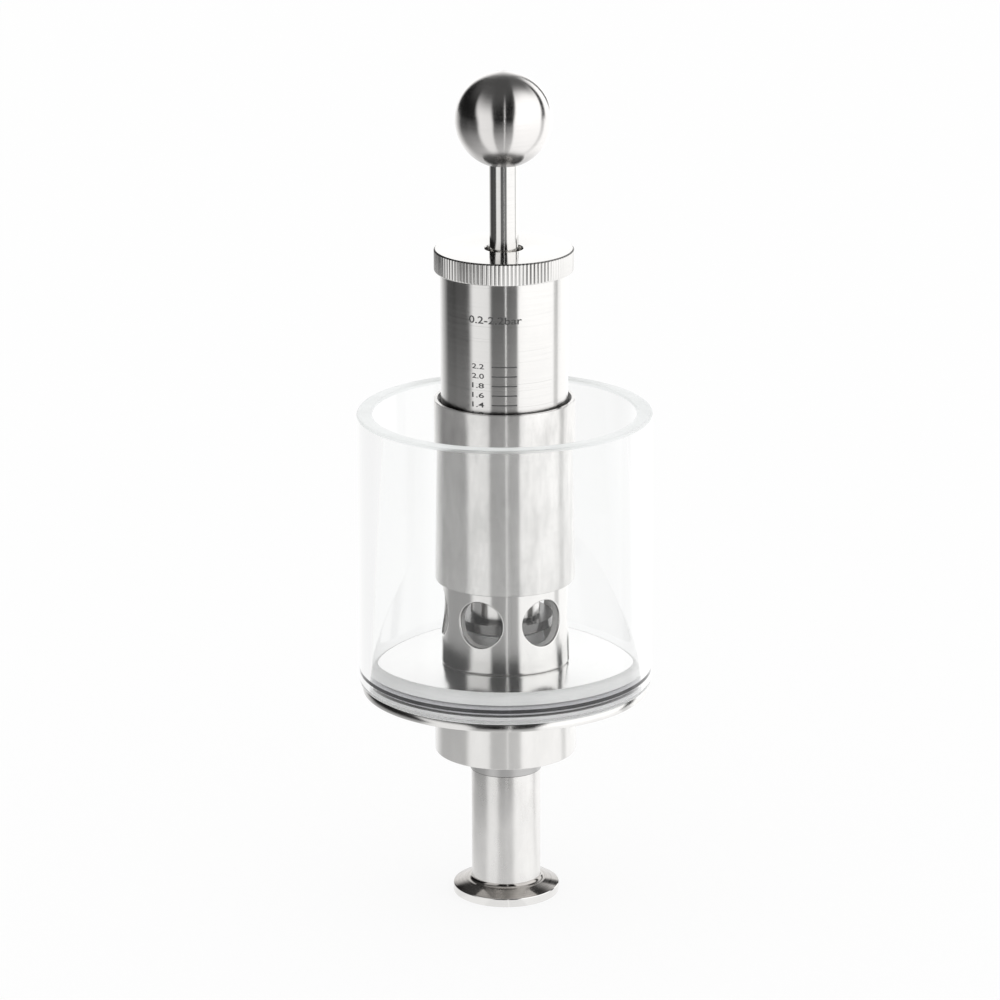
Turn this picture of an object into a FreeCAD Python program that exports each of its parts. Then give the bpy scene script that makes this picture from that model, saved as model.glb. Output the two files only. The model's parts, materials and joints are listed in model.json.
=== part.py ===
import FreeCAD, Part
import math
import os
import Sketcher

# Spunding valve: an adjustable relief valve with a bubbling glass, for a fermenting tank.
# Millimetres. The origin is the centre of the clamp ferrule's face, +Z is up the stem.

# Driving dimensions
SIZES = {
    # Clamp ferrule and inlet tube
    "clamp_rim_dia": 34.0,
    "clamp_rim_edge": 2.85,
    "clamp_cone_run": 4.4,
    "clamp_cone_rise": 1.6,
    "clamp_fillet": 1.4,
    "gasket_groove_dia": 27.5,
    "gasket_groove_width": 2.9,
    "gasket_groove_depth": 1.5,
    "ferrule_length": 21.5,
    "tube_dia": 22.0,
    "tube_length": 20.5,
    "inlet_bore": 19.0,
    # Base body
    "neck_dia": 22.8,
    "neck_length": 6.6,
    "boss_dia": 45.0,
    "boss_length": 20.6,
    "flange_inset": 0.9,
    "flange_lip": 2.9,
    "flange_round": 2.0,
    "register_length": 9.0,
    "register_round": 1.8,
    "ring_groove_rise": 1.2,
    "ring_groove_width": 3.9,
    "ring_groove_depth": 3.3,
    "collar_dia": 33.6,
    "collar_length": 6.7,
    "seat_pocket_depth": 8.5,
    # Glass and its seals
    "glass_dia": 93.0,
    "glass_wall": 5.0,
    "glass_length": 88.1,
    "glass_edge_round": 0.8,
    "glass_gap": 0.3,
    "gasket_width": 1.8,
    "gasket_thickness": 0.8,
    "gasket_recess": 0.7,
    "gasket_fit": 0.1,
    "ring_squeeze_gap": 0.05,
    "ring_groove_share": 1.3,
    # Valve seat
    "seat_dia": 24.0,
    "seat_bore": 18.0,
    "seat_length": 12.7,
    "seat_lip_width": 1.0,
    "seat_lip_rise": 1.0,
    "seat_ring_cord": 1.4,
    "seat_ring_height": 3.2,
    # Vent cage
    "cage_dia": 40.0,
    "cage_bore": 33.8,
    "cage_length": 25.4,
    "cage_foot_round": 1.0,
    "cage_shelf_rise": 22.6,
    "cage_shelf_thickness": 2.0,
    "cage_shelf_hole": 28.0,
    "spigot_dia": 36.8,
    "spigot_length": 11.9,
    "cage_ring_cord": 1.6,
    "cage_ring_rise": 2.4,
    "window_dia": 14.1,
    "window_count": 6,
    "window_height": 15.45,
    "window_turn": -23.5,
    "window_edge": 0.4,
    # Stem guide
    "guide_dia": 31.8,
    "guide_thickness": 5.0,
    "bush_dia": 26.0,
    "bush_collar_dia": 29.0,
    "bush_collar": 1.0,
    "stem_fit": 0.08,
    # Bonnet and adjusting sleeve
    "bonnet_dia": 44.4,
    "bonnet_length": 58.15,
    "bonnet_mouth_chamfer": 0.9,
    "spigot_fit": 0.1,
    "bonnet_shoulder": 12.4,
    "wiper_groove_drop": 7.0,
    "wiper_groove_width": 2.4,
    "wiper_groove_depth": 1.2,
    "sleeve_dia": 40.0,
    "sleeve_bore": 33.2,
    "sleeve_fit": 0.15,
    "sleeve_length": 69.85,
    "sleeve_start": 29.5,
    # Knurled cap
    "cap_dia": 43.8,
    "cap_thickness": 7.0,
    "cap_edge": 0.5,
    "rib_count": 108,
    "rib_groove_width": 0.7,
    "rib_groove_depth": 0.26,
    "cap_spigot_dia": 34.0,
    "cap_spigot_length": 9.0,
    "cap_hole": 12.0,
    # Plug and its seal
    "plug_flange_dia": 30.0,
    "plug_flange": 2.8,
    "plug_relief_width": 0.8,
    "plug_relief_depth": 0.6,
    "hub_dia": 22.0,
    "hub_length": 17.8,
    "seal_dia": 25.0,
    "seal_thickness": 2.0,
    "seal_proud": 0.35,
    "seal_lift": 0.05,
    "retainer_dia": 15.2,
    "retainer_thickness": 1.6,
    "screw_dia": 5.0,
    "screw_length": 6.2,
    "screw_head_dia": 9.5,
    "screw_head": 2.6,
    "screw_socket": 3.4,
    "screw_socket_depth": 1.6,
    # Rod and knob
    "rod_dia": 9.0,
    "rod_length": 151.5,
    "rod_depth_in_hub": 13.2,
    "ball_dia": 30.2,
    "ball_flat": 12.0,
    "ball_hole_depth": 11.46,
    # Spring and its plates
    "lower_plate_dia": 30.8,
    "lower_plate": 3.0,
    "lower_plate_rim": 2.5,
    "lower_plate_wall": 1.2,
    "nut_across_flats": 15.0,
    "nut_height": 4.0,
    "upper_plate_dia": 32.6,
    "upper_plate": 3.0,
    "upper_plate_hole": 11.0,
    "upper_collar_dia": 21.0,
    "upper_collar_length": 4.0,
    "washer_dia": 31.0,
    "washer_hole": 13.0,
    "washer_thickness": 1.0,
    "spring_dia": 25.0,
    "spring_wire": 2.4,
    "spring_turns": 8.6,
}

# How near two lengths are when they are taken as the same
CLOSE = 1e-6
ON_WALL = 0.01

doc = FreeCAD.newDocument("SpundingValve")
sheet = doc.addObject("Spreadsheet::Sheet", "Sizes")
for row, (alias, number) in enumerate(SIZES.items(), start=1):
    sheet.set(f"A{row}", alias)
    sheet.set(f"B{row}", str(number))
    sheet.setAlias(f"B{row}", alias)
doc.recompute()

pieces = []


class Length:
    """A length with its sheet formula, so that sums of lengths stay tied to the sheet."""

    def __init__(self, number, formula):
        self.number = number
        self.formula = formula

    def joined(self, other, sign, number):
        formula = other.formula if isinstance(other, Length) else str(other)
        return Length(number, f"({self.formula} {sign} {formula})")

    def __add__(self, other):
        return self.joined(other, "+", self.number + as_number(other))

    def __sub__(self, other):
        return self.joined(other, "-", self.number - as_number(other))

    def __mul__(self, other):
        return self.joined(other, "*", self.number * as_number(other))

    def __truediv__(self, other):
        return self.joined(other, "/", self.number / as_number(other))


def as_number(value):
    return value.number if isinstance(value, Length) else value


def size(alias):
    return Length(float(sheet.get(alias)), f"Sizes.{alias}")


def radius(alias):
    return size(alias) / 2


ZERO = Length(0.0, "0")


def origin_part(body, role):
    return next(part for part in body.Origin.OriginFeatures if part.Role == role)


def new_body(label, seat):
    """An empty body whose own origin lies on the axis, at the height of its seat."""
    body = doc.addObject("PartDesign::Body", label)
    body.Label = label
    body.Placement = FreeCAD.Placement(FreeCAD.Vector(0, 0, seat.number), FreeCAD.Rotation())
    body.setExpression("Placement.Base.z", seat.formula)
    pieces.append(body)
    return body


def new_sketch(body, name, plane="XZ_Plane"):
    sketch = body.newObject("Sketcher::SketchObject", name)
    sketch.AttachmentSupport = (origin_part(body, plane), [""])
    sketch.MapMode = "FlatFace"
    return sketch


def tie(sketch, kind, geometry, point, length):
    """Ties one point of a sketch to a length along the sketch's X or Y, or to the axis where it is zero."""
    if length.number == 0:
        axis = -2 if kind == "DistanceX" else -1
        sketch.addConstraint(Sketcher.Constraint("PointOnObject", geometry, point, axis))
        return
    number = sketch.addConstraint(Sketcher.Constraint(kind, -1, 1, geometry, point, length.number))
    sketch.setExpression(f"Constraints[{number}]", length.formula)


def draw_outline(sketch, corners):
    """A closed outline of straight edges, with each corner tied to its radius and its height."""
    points = [FreeCAD.Vector(across.number, up.number, 0) for across, up in corners]
    first = sketch.GeometryCount
    count = len(points)
    for index in range(count):
        sketch.addGeometry(Part.LineSegment(points[index], points[(index + 1) % count]), False)
    for index in range(count):
        following = first + (index + 1) % count
        sketch.addConstraint(Sketcher.Constraint("Coincident", first + index, 2, following, 1))
    for index, (across, up) in enumerate(corners):
        tie(sketch, "DistanceX", first + index, 1, across)
        tie(sketch, "DistanceY", first + index, 1, up)


def turn(body, sketch, name):
    feature = body.newObject("PartDesign::Revolution", name)
    feature.Profile = sketch
    feature.ReferenceAxis = (sketch, ["V_Axis"])
    feature.Angle = 360
    body.Tip = feature
    doc.recompute()
    return feature


def turned(label, seat, corners):
    """A lathe-turned piece: its half section, from the axis outwards, turned about its own axis."""
    body = new_body(label, seat)
    sketch = new_sketch(body, label + "_section")
    draw_outline(sketch, corners)
    turn(body, sketch, label + "_turned")
    return body


def ring_cord(label, seat, middle, cord):
    """A seal ring of round cord, with its middle circle at the height of its seat."""
    body = new_body(label, seat)
    sketch = new_sketch(body, label + "_section")
    circle = Part.Circle(FreeCAD.Vector(middle.number, 0, 0), FreeCAD.Vector(0, 0, 1), cord.number / 2)
    sketch.addGeometry(circle, False)
    sketch.addConstraint(Sketcher.Constraint("PointOnObject", 0, 3, -1))
    tie(sketch, "DistanceX", 0, 3, middle)
    number = sketch.addConstraint(Sketcher.Constraint("Radius", 0, cord.number / 2))
    sketch.setExpression(f"Constraints[{number}]", (cord / 2).formula)
    turn(body, sketch, label + "_turned")
    return body


def round_edges(feature, corners):
    """The names of the turned edges that pass through the given corners of the section."""
    names = []
    for number, edge in enumerate(feature.Shape.Edges, start=1):
        curve = edge.Curve
        if not isinstance(curve, Part.Circle):
            continue
        for across, up in corners:
            same_radius = abs(curve.Radius - across.number) < CLOSE
            if same_radius and abs(curve.Center.z - up.number) < CLOSE:
                names.append(f"Edge{number}")
    return names


def dress(body, kind, amount, corners):
    """Rounds or chamfers the turned edges at the given corners of the section."""
    base = body.Tip
    feature = body.newObject("PartDesign::" + kind, body.Label + "_" + kind.lower())
    feature.Base = (base, round_edges(base, corners))
    amount_name = "Radius" if kind == "Fillet" else "Size"
    setattr(feature, amount_name, amount.number)
    feature.setExpression(amount_name, amount.formula)
    body.Tip = feature
    doc.recompute()


# Heights of the seats, from the ferrule's face up
tube_base = size("ferrule_length")
base_bottom = tube_base + size("tube_length")
boss_bottom = base_bottom + size("neck_length")
flange_bottom = boss_bottom + size("boss_length")
flange_top = flange_bottom + size("flange_lip")
gasket_base = flange_top - size("gasket_recess")
glass_base = gasket_base + size("gasket_thickness")
disc_top = flange_top + size("register_length")
collar_top = disc_top + size("collar_length")
seat_base = collar_top - size("seat_pocket_depth")
seat_top = seat_base + size("seat_length")
shelf_underside = disc_top + size("cage_shelf_rise")
guide_base = shelf_underside + size("cage_shelf_thickness")
bonnet_base = disc_top + size("cage_length")
bonnet_top = bonnet_base + size("bonnet_length")
seal_base = seat_top + size("seal_lift")
plug_base = seal_base + size("seal_proud")
plug_flange_top = plug_base + size("plug_flange")
hub_top = plug_flange_top + size("hub_length")
lower_plate_top = hub_top + size("lower_plate")
sleeve_base = bonnet_base + size("sleeve_start")
cap_base = sleeve_base + size("sleeve_length")
washer_base = cap_base - size("cap_spigot_length") - size("washer_thickness")
upper_plate_base = washer_base - size("upper_plate")
rod_base = hub_top - size("rod_depth_in_hub")
rod_top = rod_base + size("rod_length")

bore = radius("inlet_bore")
register = radius("glass_dia") - size("glass_wall") - size("glass_gap")


def clamp_ferrule():
    """Weld ferrule: gasket groove in the face, rim, sloping back and a filleted weld end."""
    groove_in = (size("gasket_groove_dia") - size("gasket_groove_width")) / 2
    groove_out = (size("gasket_groove_dia") + size("gasket_groove_width")) / 2
    depth = size("gasket_groove_depth")
    rim = radius("clamp_rim_dia")
    edge = size("clamp_rim_edge")
    cone_end = rim - size("clamp_cone_run")
    cone_top = edge + size("clamp_cone_rise")
    tube = radius("tube_dia")
    body = turned("clamp_ferrule", ZERO, [
        (bore, ZERO), (groove_in, ZERO), (groove_in, depth), (groove_out, depth), (groove_out, ZERO),
        (rim, ZERO), (rim, edge), (cone_end, cone_top), (tube, cone_top),
        (tube, size("ferrule_length")), (bore, size("ferrule_length")),
    ])
    dress(body, "Fillet", size("clamp_fillet"), [(tube, cone_top)])


def inlet_tube():
    outer = radius("tube_dia")
    length = size("tube_length")
    turned("inlet_tube", tube_base, [(bore, ZERO), (outer, ZERO), (outer, length), (bore, length)])


def base_body():
    """Neck, boss and wide flange in one turning, with the glass register, its grooves and the seat pocket."""
    neck = size("neck_length")
    lip_bottom = neck + size("boss_length")
    lip_top = lip_bottom + size("flange_lip")
    recess_floor = lip_top - size("gasket_recess")
    recess = register + size("gasket_width") + size("gasket_fit")
    groove_low = lip_top + size("ring_groove_rise")
    groove_high = groove_low + size("ring_groove_width")
    groove_floor = register - size("ring_groove_depth")
    top = lip_top + size("register_length")
    collar_end = top + size("collar_length")
    pocket_floor = collar_end - size("seat_pocket_depth")
    boss = radius("boss_dia")
    flange = radius("glass_dia") - size("flange_inset")
    collar = radius("collar_dia")
    pocket = radius("seat_dia")
    body = turned("base_body", base_bottom, [
        (bore, ZERO), (radius("neck_dia"), ZERO), (radius("neck_dia"), neck), (boss, neck),
        (boss, lip_bottom), (flange, lip_bottom), (flange, lip_top), (recess, lip_top),
        (recess, recess_floor), (register, recess_floor),
        (register, groove_low), (groove_floor, groove_low),
        (groove_floor, groove_high), (register, groove_high),
        (register, top), (collar, top), (collar, collar_end), (pocket, collar_end),
        (pocket, pocket_floor), (bore, pocket_floor),
    ])
    dress(body, "Fillet", size("register_round"), [(register, top)])
    dress(body, "Fillet", size("flange_round"), [(flange, lip_top)])


def valve_seat():
    """Nozzle ring with a narrow raised lip on top and a ring groove round its middle."""
    outer = radius("seat_dia")
    inner = radius("seat_bore")
    lip = inner + size("seat_lip_width")
    end = size("seat_length")
    cord = size("seat_ring_cord")
    half_groove = cord * size("ring_groove_share") / 2
    groove_low = size("seat_ring_height") - half_groove
    groove_high = size("seat_ring_height") + half_groove
    turned("valve_seat", seat_base, [
        (inner, ZERO), (outer, ZERO), (outer, groove_low), (outer - cord, groove_low),
        (outer - cord, groove_high), (outer, groove_high),
        (outer, end - size("seat_lip_rise")), (lip, end), (inner, end),
    ])
    ring_cord("seat_o_ring", seat_base + size("seat_ring_height"), outer - cord / 2, cord)


def vent_cage():
    """Windowed cage: foot on the disc, inner shelf for the stem guide, and a spigot for the bonnet."""
    outer = radius("cage_dia")
    inner = radius("cage_bore")
    shelf = radius("cage_shelf_hole")
    shelf_low = size("cage_shelf_rise")
    shelf_high = shelf_low + size("cage_shelf_thickness")
    pocket = radius("guide_dia")
    shoulder = size("cage_length")
    spigot = radius("spigot_dia")
    end = shoulder + size("spigot_length")
    cord = size("cage_ring_cord")
    ring_middle = shoulder + size("cage_ring_rise")
    half_groove = cord * size("ring_groove_share") / 2
    groove_low = ring_middle - half_groove
    groove_high = ring_middle + half_groove
    body = turned("vent_cage", disc_top, [
        (inner, ZERO), (outer, ZERO), (outer, shoulder), (spigot, shoulder),
        (spigot, groove_low), (spigot - cord, groove_low),
        (spigot - cord, groove_high), (spigot, groove_high),
        (spigot, end), (pocket, end), (pocket, shelf_high), (shelf, shelf_high), (shelf, shelf_low),
        (inner, shelf_low),
    ])
    dress(body, "Fillet", size("cage_foot_round"), [(outer, ZERO)])
    cut_windows(body)
    soften_windows(body)
    body.Placement.Rotation = FreeCAD.Rotation(FreeCAD.Vector(0, 0, 1), 1)
    body.setExpression("Placement.Rotation.Angle", "Sizes.window_turn")
    spigot_face = spigot + size("spigot_fit")
    ring_cord("cage_o_ring", disc_top + ring_middle, spigot_face - cord / 2, cord)


def cut_windows(body):
    """One round window through the wall, repeated round the cage."""
    solid_before = body.Tip.Shape.Volume
    sketch = new_sketch(body, "window_circle")
    centre = FreeCAD.Vector(0, size("window_height").number, 0)
    sketch.addGeometry(Part.Circle(centre, FreeCAD.Vector(0, 0, 1), radius("window_dia").number), False)
    tie(sketch, "DistanceX", 0, 3, ZERO)
    tie(sketch, "DistanceY", 0, 3, size("window_height"))
    number = sketch.addConstraint(Sketcher.Constraint("Radius", 0, radius("window_dia").number))
    sketch.setExpression(f"Constraints[{number}]", radius("window_dia").formula)
    window = body.newObject("PartDesign::Pocket", "window")
    window.Profile = sketch
    window.Reversed = True
    window.Length = size("cage_dia").number
    window.setExpression("Length", size("cage_dia").formula)
    body.Tip = window
    doc.recompute()
    if solid_before - body.Tip.Shape.Volume < 1:
        raise RuntimeError("the window cuts nothing")
    repeat_round(body, window, "windows", "window_count")


def repeat_round(body, feature, name, count):
    """Repeats a feature evenly round the axis, as many times as the sheet says."""
    pattern = body.newObject("PartDesign::PolarPattern", name)
    pattern.Originals = [feature]
    pattern.Axis = (origin_part(body, "Z_Axis"), [""])
    pattern.Angle = 360
    pattern.Occurrences = int(size(count).number)
    pattern.setExpression("Occurrences", size(count).formula)
    body.Tip = pattern
    doc.recompute()


def soften_windows(body):
    """Rounds the windows' outer edges, which lie on the cage's outside."""
    pattern = body.Tip
    outer = radius("cage_dia").number
    names = []
    for number, edge in enumerate(pattern.Shape.Edges, start=1):
        middle = edge.valueAt((edge.FirstParameter + edge.LastParameter) / 2)
        on_outside = abs(math.hypot(middle.x, middle.y) - outer) < ON_WALL
        if on_outside and not isinstance(edge.Curve, (Part.Circle, Part.Line)):
            names.append(f"Edge{number}")
    fillet = body.newObject("PartDesign::Fillet", "window_edges")
    fillet.Base = (pattern, names)
    fillet.Radius = size("window_edge").number
    fillet.setExpression("Radius", "Sizes.window_edge")
    body.Tip = fillet
    doc.recompute()


def stem_guide():
    """Guide plate on the cage's shelf, and the collared bush that the hub slides in."""
    hole = radius("bush_dia")
    thickness = size("guide_thickness")
    turned("stem_guide", guide_base, [
        (hole, ZERO), (radius("guide_dia"), ZERO), (radius("guide_dia"), thickness), (hole, thickness),
    ])
    inner = radius("hub_dia") + size("stem_fit")
    collar_end = thickness + size("bush_collar")
    turned("guide_bush", guide_base, [
        (inner, ZERO), (hole, ZERO), (hole, thickness), (radius("bush_collar_dia"), thickness),
        (radius("bush_collar_dia"), collar_end), (inner, collar_end),
    ])


def bonnet():
    """Spring housing: it screws on the cage's spigot, and its long bore carries the adjusting sleeve."""
    outer = radius("bonnet_dia")
    inner = radius("sleeve_dia") + size("sleeve_fit")
    spigot = radius("spigot_dia") + size("spigot_fit")
    shoulder = size("bonnet_shoulder")
    end = size("bonnet_length")
    groove_high = end - size("wiper_groove_drop")
    groove_low = groove_high - size("wiper_groove_width")
    groove = inner + size("wiper_groove_depth")
    body = turned("bonnet", bonnet_base, [
        (spigot, ZERO), (outer, ZERO), (outer, end), (inner, end),
        (inner, groove_high), (groove, groove_high), (groove, groove_low), (inner, groove_low),
        (inner, shoulder), (spigot, shoulder),
    ])
    dress(body, "Chamfer", size("bonnet_mouth_chamfer"), [(inner, end)])
    width = size("wiper_groove_width")
    turned("wiper_ring", bonnet_base + groove_low, [
        (inner, ZERO), (groove, ZERO), (groove, width), (inner, width),
    ])


def adjusting_sleeve():
    """Scale sleeve: plain tube with a socket at the top for the cap's spigot."""
    outer = radius("sleeve_dia")
    inner = radius("sleeve_bore")
    socket = radius("cap_spigot_dia")
    end = size("sleeve_length")
    socket_floor = end - size("cap_spigot_length")
    turned("adjusting_sleeve", sleeve_base, [
        (inner, ZERO), (outer, ZERO), (outer, end), (socket, end),
        (socket, socket_floor), (inner, socket_floor),
    ])


def knurled_cap():
    """Ribbed grip disc with a spigot that goes down into the sleeve, and a hole with room for the rod."""
    hole = radius("cap_hole")
    spigot = radius("cap_spigot_dia")
    outer = radius("cap_dia")
    shoulder = size("cap_spigot_length")
    end = shoulder + size("cap_thickness")
    body = turned("knurled_cap", cap_base - size("cap_spigot_length"), [
        (hole, ZERO), (spigot, ZERO), (spigot, shoulder), (outer, shoulder), (outer, end), (hole, end),
    ])
    dress(body, "Chamfer", size("cap_edge"), [(outer, shoulder), (outer, end)])
    cut_ribs(body, outer)


def cut_ribs(body, outer):
    """One narrow groove down the grip, repeated round it, which leaves broad ribs between the grooves."""
    solid_before = body.Tip.Shape.Volume
    sketch = new_sketch(body, "rib_groove_section", "XY_Plane")
    half = size("rib_groove_width") / 2
    depth = size("rib_groove_depth")
    shoulder = size("cap_spigot_length")
    draw_outline(sketch, [(outer + depth, half * -2), (outer + depth, half * 2), (outer - depth, ZERO)])
    sketch.AttachmentOffset = FreeCAD.Placement(FreeCAD.Vector(0, 0, shoulder.number), FreeCAD.Rotation())
    sketch.setExpression("AttachmentOffset.Base.z", shoulder.formula)
    groove = body.newObject("PartDesign::Pocket", "rib_groove")
    groove.Profile = sketch
    groove.Reversed = True
    groove.Length = size("cap_thickness").number
    groove.setExpression("Length", size("cap_thickness").formula)
    body.Tip = groove
    doc.recompute()
    if solid_before <= body.Tip.Shape.Volume:
        raise RuntimeError("the rib groove cuts nothing")
    repeat_round(body, groove, "rib_grooves", "rib_count")


def glass_and_seals():
    """Glass cylinder, the ring that it is pushed over, and the gasket let into the lip under it."""
    outer = radius("glass_dia")
    inner = outer - size("glass_wall")
    length = size("glass_length")
    body = turned("sight_glass", glass_base, [(inner, ZERO), (outer, ZERO), (outer, length), (inner, length)])
    dress(body, "Fillet", size("glass_edge_round"), [(outer, length), (inner, length)])
    ring_outer = inner - size("ring_squeeze_gap")
    ring_inner = register - size("ring_groove_depth")
    cord = ring_outer - ring_inner
    ring_height = flange_top + size("ring_groove_rise") + size("ring_groove_width") / 2
    ring_cord("glass_o_ring", ring_height, ring_inner + cord / 2, cord)
    gasket_outer = register + size("gasket_width")
    thickness = size("gasket_thickness") - size("ring_squeeze_gap")
    turned("glass_gasket", gasket_base, [
        (register, ZERO), (gasket_outer, ZERO), (gasket_outer, thickness), (register, thickness),
    ])


def valve_plug():
    """Plug: flange with a seal pocket underneath, and a hub that slides in the guide and takes the rod."""
    hub = radius("hub_dia")
    flange = radius("plug_flange_dia")
    pocket = radius("seal_dia")
    pocket_roof = size("seal_thickness") - size("seal_proud")
    flange_end = size("plug_flange")
    relief = hub - size("plug_relief_depth")
    relief_end = flange_end + size("plug_relief_width")
    end = flange_end + size("hub_length")
    rod = radius("rod_dia")
    rod_floor = end - size("rod_depth_in_hub")
    screw = radius("screw_dia")
    screw_end = pocket_roof + size("screw_length") - size("seal_thickness")
    turned("valve_plug", plug_base, [
        (ZERO, screw_end), (screw, screw_end), (screw, pocket_roof), (pocket, pocket_roof), (pocket, ZERO),
        (flange, ZERO), (flange, flange_end), (relief, flange_end), (relief, relief_end), (hub, relief_end),
        (hub, end), (rod, end), (rod, rod_floor), (ZERO, rod_floor),
    ])


def plug_seal():
    """Soft disc in the plug, the washer that holds it and the washer's screw."""
    hole = radius("screw_dia")
    thickness = size("seal_thickness")
    turned("plug_seal", seal_base, [
        (hole, ZERO), (radius("seal_dia"), ZERO), (radius("seal_dia"), thickness), (hole, thickness),
    ])
    washer = size("retainer_thickness")
    turned("seal_retainer", seal_base - washer, [
        (hole, ZERO), (radius("retainer_dia"), ZERO), (radius("retainer_dia"), washer), (hole, washer),
    ])
    head = size("screw_head")
    shank_end = head + washer + size("screw_length")
    screw_base = seal_base - washer - head
    blank = turned("screw_blank", screw_base, [
        (ZERO, ZERO), (radius("screw_head_dia"), ZERO), (radius("screw_head_dia"), head), (hole, head),
        (hole, shank_end), (ZERO, shank_end),
    ])
    pieces.remove(blank)
    socket = hexagon("screw_socket_tool", size("screw_socket"), size("screw_socket_depth"), screw_base)
    cut("retainer_screw", blank, socket)


def hexagon(label, across_flats, height, seat):
    prism = doc.addObject("Part::Prism", label)
    prism.Polygon = 6
    corner = across_flats / 2 * (1 / math.cos(math.pi / 6))
    prism.setExpression("Circumradius", corner.formula)
    prism.setExpression("Height", height.formula)
    prism.setExpression("Placement.Base.z", seat.formula)
    return prism


def cut(label, base, tool):
    result = doc.addObject("Part::Cut", label)
    result.Label = label
    result.Base = base
    result.Tool = tool
    pieces.append(result)
    return result


def lift_rod():
    outer = radius("rod_dia")
    length = size("rod_length")
    turned("lift_rod", rod_base, [(ZERO, ZERO), (outer, ZERO), (outer, length), (ZERO, length)])


def ball_knob():
    """Ball with a small flat underneath and the blind hole that the rod screws into."""
    middle = radius("ball_dia")
    flat = radius("ball_flat")
    flat_drop = math.sqrt(middle.number ** 2 - flat.number ** 2)
    flat_height = f"sqrt({middle.formula} ^ 2 - {flat.formula} ^ 2)"
    depth = size("ball_hole_depth")
    body = new_body("ball_knob", rod_top - depth + Length(flat_drop, flat_height))
    sketch = new_sketch(body, "ball_section")
    start = -math.asin(flat_drop / middle.number)
    arc_circle = Part.Circle(FreeCAD.Vector(0, 0, 0), FreeCAD.Vector(0, 0, 1), middle.number)
    sketch.addGeometry(Part.ArcOfCircle(arc_circle, start, math.pi / 2), False)
    bottom = FreeCAD.Vector(0, -flat_drop, 0)
    corner = FreeCAD.Vector(flat.number, -flat_drop, 0)
    crown = FreeCAD.Vector(0, middle.number, 0)
    sketch.addGeometry(Part.LineSegment(crown, bottom), False)
    sketch.addGeometry(Part.LineSegment(bottom, corner), False)
    sketch.addConstraint(Sketcher.Constraint("Coincident", 0, 3, -1, 1))
    sketch.addConstraint(Sketcher.Constraint("Coincident", 0, 2, 1, 1))
    sketch.addConstraint(Sketcher.Constraint("Coincident", 1, 2, 2, 1))
    sketch.addConstraint(Sketcher.Constraint("Coincident", 2, 2, 0, 1))
    sketch.addConstraint(Sketcher.Constraint("PointOnObject", 1, 1, -2))
    sketch.addConstraint(Sketcher.Constraint("PointOnObject", 1, 2, -2))
    sketch.addConstraint(Sketcher.Constraint("Horizontal", 2))
    number = sketch.addConstraint(Sketcher.Constraint("Radius", 0, middle.number))
    sketch.setExpression(f"Constraints[{number}]", middle.formula)
    tie(sketch, "DistanceX", 0, 1, flat)
    turn(body, sketch, "ball_turned")
    drill_ball(body, depth, flat_drop, flat_height)


def drill_ball(body, depth, flat_drop, flat_height):
    """Blind hole from the flat up into the ball."""
    solid_before = body.Tip.Shape.Volume
    sketch = new_sketch(body, "ball_hole_circle", "XY_Plane")
    sketch.AttachmentOffset = FreeCAD.Placement(FreeCAD.Vector(0, 0, -flat_drop), FreeCAD.Rotation())
    sketch.setExpression("AttachmentOffset.Base.z", f"-({flat_height})")
    rod = radius("rod_dia")
    sketch.addGeometry(Part.Circle(FreeCAD.Vector(0, 0, 0), FreeCAD.Vector(0, 0, 1), rod.number), False)
    sketch.addConstraint(Sketcher.Constraint("Coincident", 0, 3, -1, 1))
    number = sketch.addConstraint(Sketcher.Constraint("Radius", 0, rod.number))
    sketch.setExpression(f"Constraints[{number}]", rod.formula)
    hole = body.newObject("PartDesign::Pocket", "ball_hole")
    hole.Profile = sketch
    hole.Reversed = True
    hole.Length = depth.number
    hole.setExpression("Length", depth.formula)
    body.Tip = hole
    doc.recompute()
    if solid_before - body.Tip.Shape.Volume < 1:
        raise RuntimeError("the ball's hole cuts nothing")


def lower_spring_plate():
    """Cupped plate on the hub's top, clamped by the nut on the rod."""
    hole = radius("rod_dia")
    outer = radius("lower_plate_dia")
    inner = outer - size("lower_plate_wall")
    floor = size("lower_plate")
    rim = floor + size("lower_plate_rim")
    turned("lower_spring_plate", hub_top, [
        (hole, ZERO), (outer, ZERO), (outer, rim), (inner, rim), (inner, floor), (hole, floor),
    ])
    blank = hexagon("nut_blank", size("nut_across_flats"), size("nut_height"), lower_plate_top)
    hole_tool = cylinder("nut_hole", hole, size("nut_height"), lower_plate_top)
    cut("stem_nut", blank, hole_tool)


def cylinder(label, across, height, seat):
    tool = doc.addObject("Part::Cylinder", label)
    tool.setExpression("Radius", across.formula)
    tool.setExpression("Height", height.formula)
    tool.setExpression("Placement.Base.z", seat.formula)
    return tool


def upper_spring_plate():
    """Plate between sleeve and spring, its locating collar, and the washer that the sleeve turns on."""
    hole = radius("upper_plate_hole")
    outer = radius("upper_plate_dia")
    collar = radius("upper_collar_dia")
    step = size("upper_collar_length")
    end = step + size("upper_plate")
    turned("upper_spring_plate", upper_plate_base - step, [
        (hole, ZERO), (collar, ZERO), (collar, step), (outer, step), (outer, end), (hole, end),
    ])
    thickness = size("washer_thickness")
    inner = radius("washer_hole")
    turned("thrust_washer", washer_base, [
        (inner, ZERO), (radius("washer_dia"), ZERO), (radius("washer_dia"), thickness), (inner, thickness),
    ])


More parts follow.
